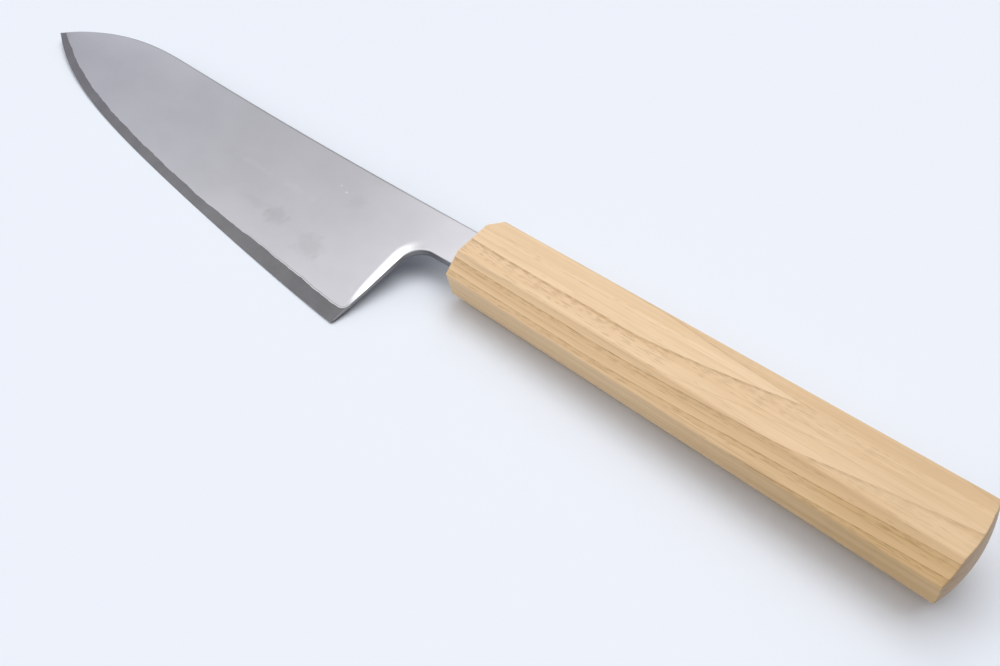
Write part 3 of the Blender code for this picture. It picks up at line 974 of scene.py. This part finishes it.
def ripple(x):
    """How far the ground line between cladding and core wanders, in millimetres."""
    waves = 0.0
    for length, height, start in RIPPLES:
        waves += height * math.sin(2 * math.pi * x / length + start)
    return RIPPLE_FLOOR + waves


def cladding_end():
    """Where the cladding runs out to a point, because its ground line meets the spine."""
    x = TIP_X
    while spine_y(x) - core_line_y(x) < TANG_STEP:
        x += TANG_STEP
    return x


def cladding_blade(name, node, side, material):
    """One outer layer, with a rounded choil wall and a polished relief along it."""
    def floor_y(x):
        return core_line_y(x) + ripple(x) * share(spine_y(x) - core_line_y(x), 0.0, POINT_HEIGHT)

    pairs, heel = columns_for(floor_y, cladding_end(), CLADDING_HEEL_RADIUS)
    run = [0.0] * len(pairs)
    for column in range(heel + 1, len(pairs)):
        run[column] = run[column - 1] + (pairs[column][0] - pairs[column - 1][0]).length
    relief_end = heel
    while pairs[relief_end][0].x <= RELIEF_END_X:
        relief_end += 1
    relief_run = run[relief_end]
    face_rings = len(FACE_SPOTS) + len(SPINE_GAPS)
    rings = 1 + (WALL_STEPS + 1) + len(RELIEF_SPOTS) + face_rings + (EASE_STEPS + 1) + 1

    def inward(column):
        before = pairs[max(column - 1, 0)][0]
        after = pairs[min(column + 1, len(pairs) - 1)][0]
        travel = (after - before).normalized()
        return Vector((-travel.y, travel.x)) if after.x < SHOULDER_DEPTH else Vector((0.0, 1.0))

    def face_point(column, distance, width, drop):
        """A point of the face this far in from the lower outline, let down by the relief."""
        lower, upper = pairs[column]
        point = lower + inward(column) * distance
        sunk = drop * (1 - ease(share(distance, 0.0, width)))
        height = max(face_half(point.x, point.y) - sunk, slab_half(lower.x))
        return Vector((point.x, point.y, height))

    def place(column, ring):
        lower, upper = pairs[column]
        across = upper - lower
        grown = share(run[column], 0.0, relief_run)
        stop = ease(1 - share(grown, RELIEF_RUN_OUT, 1.0))
        walled = 1.0 if column > heel else 0.0
        opening = (RELIEF_WIDTH - RELIEF_WIDTH_AT_HEEL) * grown ** RELIEF_WIDTH_POWER
        width = min(RELIEF_WIDTH_AT_HEEL + opening, RELIEF_LIMIT * across.length)
        shine = walled * min(1.0, RELIEF_OPENING * grown) * stop
        drop = RELIEF_DEPTH * shine
        slab = slab_half(lower.x)
        wall_top = max(face_half(lower.x, lower.y) - drop, slab)
        rounding = walled * WALL_ROUNDING * share(run[column], 0.0, WALL_ROUNDING_START)
        rounding = min(rounding, wall_top - slab)

        # The last mark is painted shade, on the choil's wall, its rounding and along the spine
        def mark(point, polish, rim, painted_shade):
            return Vector((point.x, point.y, side * point.z)), polish, rim, painted_shade

        ring = ring % rings
        if ring == 0:
            return mark(Vector((lower.x, lower.y, slab)), 0.0, walled, walled)
        ring -= 1
        if ring <= WALL_STEPS:
            angle = math.pi / 2 * ring / WALL_STEPS
            point = face_point(column, rounding * (1 - math.cos(angle)), width, drop)
            point.z = max(point.z - rounding * (1 - math.sin(angle)), slab)
            up = ease(ring / WALL_STEPS)
            return mark(point, shine * up, walled, walled * (1 - up))
        ring -= WALL_STEPS + 1
        if ring < len(RELIEF_SPOTS):
            spot = RELIEF_SPOTS[ring]
            distance = rounding + (width - rounding) * spot
            rim = walled or distance
            polish = shine * (1 - ease(share(spot, RELIEF_FADE, 1.0)))
            return mark(face_point(column, distance, width, drop), polish, rim, 0.0)
        ring -= len(RELIEF_SPOTS)
        inner = face_point(column, width, width, drop).to_2d()
        up = (upper - inner).normalized()
        top_half = spine_half(upper.x)
        ease_size = min(SPINE_EASE, SPINE_EASE_LIMIT * (top_half - slab))
        shoulder = upper - up * ease_size
        if ring < face_rings:
            painted_shade = 0.0
            if ring < len(FACE_SPOTS):
                point = inner.lerp(shoulder, FACE_SPOTS[ring])
            else:
                gap, painted_shade = SPINE_GAPS[ring - len(FACE_SPOTS)]
                point = shoulder - up * min(gap, SPINE_GAP_LIMIT * (shoulder - inner).length)
            return mark(Vector((point.x, point.y, face_half(point.x, point.y))), 0.0, 1.0, painted_shade)
        ring -= face_rings
        if ring <= EASE_STEPS:
            angle = math.pi / 2 * ring / EASE_STEPS
            point = shoulder + up * ease_size * math.sin(angle)
            z = face_half(shoulder.x, shoulder.y) - ease_size * (1 - math.cos(angle))
            # Painted shade grows over the spine's rounding
            painted_shade = PAINTED_SHADE_AT_SHOULDER + (1 - PAINTED_SHADE_AT_SHOULDER) * ring / EASE_STEPS
            return mark(Vector((point.x, point.y, z)), 0.0, 1.0, painted_shade)
        return mark(Vector((upper.x, upper.y, slab)), 0.0, 1.0, 1.0)

    bm = skin(len(pairs) - 1, rings, place, ("polish", "rim", "painted_shade"))
    return finish_mesh(name, bm, material, node)


# Handle


def soften(bm, edges, size, segments):
    """A bevel along edges of the handle."""
    bmesh.ops.bevel(
        bm, geom=edges, offset=size, segments=segments, profile=0.5, affect="EDGES", material=-1,
    )


def handle_bar(bm):
    """A long box, chamfered and then softened along its length, and a little taller at its butt."""
    slant = CHAMFER_HEIGHT / CHAMFER_THICKNESS
    bmesh.ops.create_cube(bm, size=1.0)
    bmesh.ops.translate(bm, vec=(0.5, 0.0, 0.0), verts=bm.verts[:])
    size = (HANDLE_LENGTH, 2 * HALF_HEIGHT_FRONT / slant, 2 * HALF_THICKNESS)
    bmesh.ops.scale(bm, vec=size, verts=bm.verts[:])
    soften(bm, long_edges(bm), CHAMFER_THICKNESS, 1)
    bmesh.ops.scale(bm, vec=(1.0, slant, 1.0), verts=bm.verts[:])
    soften(bm, long_edges(bm), RIDGE_EASE, RIDGE_SEGMENTS)
    butt = [vert for vert in bm.verts if vert.co.x > HANDLE_LENGTH / 2]
    bmesh.ops.scale(bm, vec=(1.0, HALF_HEIGHT_BUTT / HALF_HEIGHT_FRONT, 1.0), verts=butt)


def long_edges(bm):
    edges = []
    for edge in bm.edges:
        start, end = edge.verts
        if abs(start.co.x - end.co.x) > HANDLE_LENGTH / 2:
            edges.append(edge)
    return edges


def edges_among(bm, verts):
    """The edges of which both ends are among these points."""
    chosen = set(verts)
    return [edge for edge in bm.edges if edge.verts[0] in chosen and edge.verts[1] in chosen]


def end_face(bm, direction):
    """The face that closes the bar at its front (-1) or at its butt (1)."""
    return max(bm.faces, key=lambda face: direction * face.calc_center_median().x)


def crown_butt(bm):
    """Rings inset into the butt's face, which a shallow dome then lifts."""
    face = end_face(bm, 1)
    flats = [edge for edge in face.edges if edge.calc_length() > CROWN_STEP]
    bmesh.ops.subdivide_edges(bm, edges=flats, cuts=CROWN_CUTS)
    face = end_face(bm, 1)
    for ring in range(CROWN_RINGS, 0, -1):
        bmesh.ops.inset_region(bm, faces=[face], thickness=0.0)
        shrink = (ring - CROWN_PART) / (ring + 1 - CROWN_PART)
        bmesh.ops.scale(bm, vec=(1.0, shrink, shrink), verts=face.verts[:])
    bmesh.ops.poke(bm, faces=[face])
    corner = math.hypot(HALF_HEIGHT_BUTT, HALF_THICKNESS - CHAMFER_THICKNESS)
    dome = (corner ** 2 + BUTT_CROWN ** 2) / (2 * BUTT_CROWN)
    for vert in bm.verts:
        if vert.co.x > HANDLE_LENGTH - CLOSE:
            reach = math.hypot(vert.co.y, vert.co.z)
            vert.co.x = HANDLE_LENGTH + BUTT_CROWN - dome + math.sqrt(dome ** 2 - reach ** 2)


def open_front(bm):
    """The mouth broached for the neck, and the bore drilled behind it for the tang."""
    front = end_face(bm, -1)
    bmesh.ops.inset_region(bm, faces=[front], thickness=0.0)
    bmesh.ops.scale(bm, vec=(1.0, FRONT_RING, FRONT_RING), verts=front.verts[:])
    outer = list(front.edges)
    bmesh.ops.delete(bm, geom=[front], context="FACES_ONLY")

    low, high = neck_y(0.0) - MOUTH_WALL, SPINE_RISE + MOUTH_WALL
    mouth = bmesh.ops.create_circle(bm, segments=4, radius=math.sqrt(0.5))["verts"]
    turn = Matrix.Rotation(math.radians(90), 4, "Y") @ Matrix.Rotation(math.radians(45), 4, "Z")
    bmesh.ops.transform(bm, matrix=turn, verts=mouth)
    bmesh.ops.scale(bm, vec=(1.0, high - low, 2 * MOUTH_HALF_THICKNESS), verts=mouth)
    bmesh.ops.translate(bm, vec=(0.0, (low + high) / 2, 0.0), verts=mouth)
    edges = edges_among(bm, mouth)
    bmesh.ops.triangle_fill(bm, edges=outer + edges, use_beauty=True, normal=(-1.0, 0.0, 0.0))

    grown = bmesh.ops.extrude_edge_only(bm, edges=edges)["geom"]
    inner = [item for item in grown if isinstance(item, bmesh.types.BMVert)]
    bmesh.ops.translate(bm, vec=(MOUTH_DEPTH, 0.0, 0.0), verts=inner)
    inner_edges = [item for item in grown if isinstance(item, bmesh.types.BMEdge)]

    bore = bmesh.ops.create_circle(bm, segments=BORE_SIDES, radius=BORE_RADIUS)["verts"]
    place = Matrix.Translation((MOUTH_DEPTH, 0.0, 0.0)) @ Matrix.Rotation(math.radians(90), 4, "Y")
    bmesh.ops.transform(bm, matrix=place, verts=bore)
    bore_edges = edges_among(bm, bore)
    bmesh.ops.bridge_loops(bm, edges=inner_edges + bore_edges)
    grown = bmesh.ops.extrude_edge_only(bm, edges=bore_edges)["geom"]
    end = [item for item in grown if isinstance(item, bmesh.types.BMVert)]
    bmesh.ops.translate(bm, vec=(BORE_DEPTH - MOUTH_DEPTH, 0.0, 0.0), verts=end)
    bmesh.ops.holes_fill(bm, edges=[edge for edge in bm.edges if edge.is_boundary], sides=0)


def handle_body(material):
    """The eight-sided wooden handle, cut across for an even mesh and slanted at its front."""
    bm = bmesh.new()
    handle_bar(bm)
    soften(bm, list(end_face(bm, -1).edges), FRONT_RIM_EASE, FRONT_RIM_SEGMENTS)
    crown_butt(bm)
    butt_rim = []
    for edge in bm.edges:
        at_butt = edge.verts[0].co.x > HANDLE_LENGTH - BUTT_RIM_REACH
        if at_butt and len(edge.link_faces) == 2 and edge.calc_face_angle() > BUTT_RIM_ANGLE:
            butt_rim.append(edge)
    soften(bm, butt_rim, BUTT_RIM_EASE, BUTT_RIM_SEGMENTS)
    for step in range(1, BAR_CUTS):
        cut = Vector((HANDLE_LENGTH * step / BAR_CUTS, 0.0, 0.0))
        whole = bm.verts[:] + bm.edges[:] + bm.faces[:]
        bmesh.ops.bisect_plane(bm, geom=whole, plane_co=cut, plane_no=(1, 0, 0))
    open_front(bm)
    for vert in bm.verts:
        near_front = 1 - share(vert.co.x, 0.0, FRONT_SLANT_RUN)
        vert.co.x += (FRONT_SLANT * (vert.co.y - HALF_HEIGHT_FRONT) - FRONT_SHIFT) * near_front
    bmesh.ops.recalc_face_normals(bm, faces=bm.faces[:])
    piece = finish_mesh("handle_body", bm, material, "handle", SHARP_ANGLE_WOOD)
    flats = piece.modifiers.new("flats", "WEIGHTED_NORMAL")
    flats.keep_sharp = True
    return piece


# Stage


def place_camera():
    camera = bpy.data.cameras.new("camera")
    camera.lens = CAMERA_LENS
    camera.sensor_fit = "HORIZONTAL"
    camera.sensor_width = CAMERA_SENSOR
    camera.clip_start = CAMERA_NEAREST
    camera.clip_end = CAMERA_FARTHEST
    holder = bpy.data.objects.new("camera", camera)
    bpy.context.scene.collection.objects.link(holder)
    look = CAMERA_LOOK.normalized()
    right = (CAMERA_RIGHT - look * CAMERA_RIGHT.dot(look)).normalized()
    up = right.cross(look)
    turn = Matrix((right, up, -look)).transposed()
    holder.matrix_world = Matrix.Translation(AXIS + CAMERA_PLACE * MM) @ turn.to_4x4()
    bpy.context.scene.camera = holder


def lay_floor():
    """A pale floor on the plane that the knife rests on, which shows from above only."""
    up = REST_UP.normalized()
    bm = bmesh.new()
    bmesh.ops.create_grid(bm, x_segments=1, y_segments=1, size=FLOOR_REACH)
    turn = Vector((0, 0, 1)).rotation_difference(up).to_matrix().to_4x4()
    bmesh.ops.transform(bm, matrix=Matrix.Translation(up * REST_OFFSET) @ turn, verts=bm.verts[:])
    mesh = bpy.data.meshes.new("floor")
    bm.to_mesh(mesh)
    bm.free()
    material, tree, surface = new_material("floor")
    surface.inputs["Base Color"].default_value = (*FLOOR_COLOUR, 1.0)
    surface.inputs["Roughness"].default_value = FLOOR_ROUGHNESS
    surface.inputs["Specular IOR Level"].default_value = FLOOR_SPECULAR
    clear = add(tree, "ShaderNodeBsdfTransparent")
    shape = add(tree, "ShaderNodeNewGeometry")
    chosen = mix_shaders(tree, shape.outputs["Backfacing"], surface.outputs[0], clear.outputs[0])
    plug(tree, chosen, tree.nodes["Material Output"].inputs["Surface"])
    mesh.materials.append(material)
    floor = bpy.data.objects.new("floor", mesh)
    bpy.context.scene.collection.objects.link(floor)


def light_the_set():
    """A dim even room with soft bright panels on the far side and on the left.

    Reflections also show a pale wall on the near right, and the camera sees a pale backdrop.
    """
    world = bpy.data.worlds.new("world")
    bpy.context.scene.world = world
    world.use_nodes = True
    tree = world.node_tree
    where = add(tree, "ShaderNodeTexCoord").outputs["Generated"]
    ray = add(tree, "ShaderNodeLightPath").outputs
    level = 0.0
    for direction, height, spread_angle, strength in PANELS:
        turn, lift = math.radians(direction), math.radians(height)
        middle = (math.cos(turn) * math.cos(lift), math.sin(turn) * math.cos(lift), math.sin(lift))
        rim = math.cos(math.radians(spread_angle))
        core = math.cos(math.radians(spread_angle * PANEL_CORE))
        panel = between(tree, reach_along(tree, where, middle), rim, core, 0.0, strength)
        level = math_node(tree, "ADD", panel, level)
    towards_wall = reach_along(tree, where, WALL_DIRECTION.normalized())
    wall = between(tree, towards_wall, WALL_START, WALL_FULL, 0.0, WALL_LEVEL)
    level = math_node(tree, "MULTIPLY_ADD", wall, ray["Is Glossy Ray"], level)

    room = tree.nodes["Background"]
    room.inputs["Color"].default_value = (*ROOM_COLOUR, 1.0)
    room.inputs["Strength"].default_value = ROOM_LEVEL
    panels = add(tree, "ShaderNodeBackground")
    panels.inputs["Color"].default_value = (1.0, 1.0, 1.0, 1.0)
    plug(tree, level, panels.inputs["Strength"])
    light = add(tree, "ShaderNodeAddShader")
    plug(tree, room.outputs[0], light.inputs[0])
    plug(tree, panels.outputs[0], light.inputs[1])
    backdrop = add(tree, "ShaderNodeBackground")
    backdrop.inputs["Color"].default_value = (*BACKDROP_COLOUR, 1.0)
    seen = mix_shaders(tree, ray["Is Camera Ray"], light.outputs[0], backdrop.outputs[0])
    plug(tree, seen, tree.nodes["World Output"].inputs["Surface"])


bpy.context.scene.view_settings.view_transform = "Standard"
place_camera()
lay_floor()
light_the_set()

core_blade(dark_core())
left_finish = satin_steel("satin_left", LEFT_STAINS, LEFT_PAINTED_GLINTS)
right_finish = satin_steel("satin_right", RIGHT_STAINS, RIGHT_PAINTED_GLINTS)
cladding_blade("cladding_left_face", "cladding_left", 1, left_finish)
cladding_blade("cladding_right_face", "cladding_right", -1, right_finish)
handle_body(handle_wood())

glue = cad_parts["tang_glue"]
glue.data.materials.clear()
glue.data.materials.append(tang_resin())
